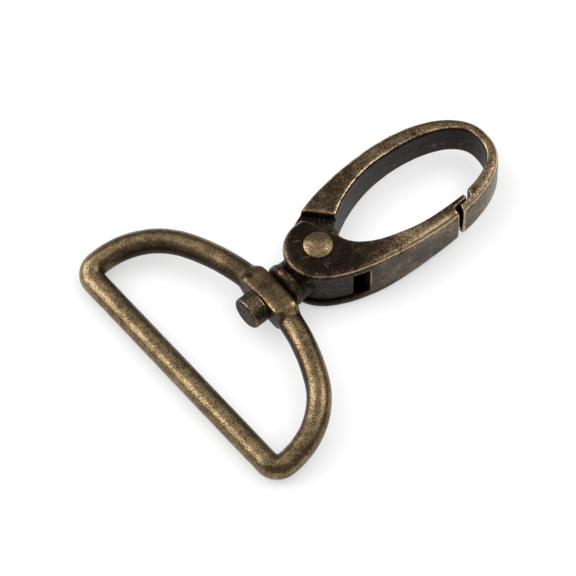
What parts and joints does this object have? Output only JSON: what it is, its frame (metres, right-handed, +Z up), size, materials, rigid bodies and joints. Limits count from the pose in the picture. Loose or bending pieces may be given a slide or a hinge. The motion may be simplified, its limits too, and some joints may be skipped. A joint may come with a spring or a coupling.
{
  "type": "swivel snap hook",
  "caption": "Oval snap hook with a sprung gate, turning on a headed stud in a D-ring for webbing; antique brass finish.",
  "frame": {"origin": "under the middle of the whole hook, on the surface it lies on", "axes": "+X along the stud from the ring's bar to the nose, +Y to the fixed arm, +Z up out of the face with the rivet's dome"},
  "size_m": [0.0578, 0.0452, 0.0099],
  "materials": {
    "ring_metal": "antique brass plating, dark with worn speckle",
    "stud_metal": "antique brass plating, dark with worn rim",
    "hook_metal": "antique brass plating, dark with bright worn edges",
    "gate_metal": "antique brass plating, dark with bright worn edges",
    "rivet_metal": "antique brass plating, worn lighter",
    "spring_steel": "drawn spring wire"
  },
  "bodies": {
    "hook": {"hook_frame": "hook_metal", "pivot_rivet": "rivet_metal", "swivel_stud": "stud_metal", "gate_spring": "spring_steel"},
    "gate": {"gate": "gate_metal"},
    "ring": {"d_ring": "ring_metal"}
  },
  "joints": [
    {"name": "gate_hinge", "type": "hinge", "parent": "hook", "child": "gate", "pos_m": [-0.00201, 0, 0.00455], "axis": [0, 0, 1], "range_deg": [0, 26], "stiffness_Nm_per_rad": 0.04, "springref_deg": -34.38, "deforming": ["gate_spring"]},
    {"name": "ring_swivel", "type": "hinge", "parent": "hook", "child": "ring", "pos_m": [-0.01075, 0, 0.00455], "axis": [1, 0, 0], "continuous": true}
  ]
}
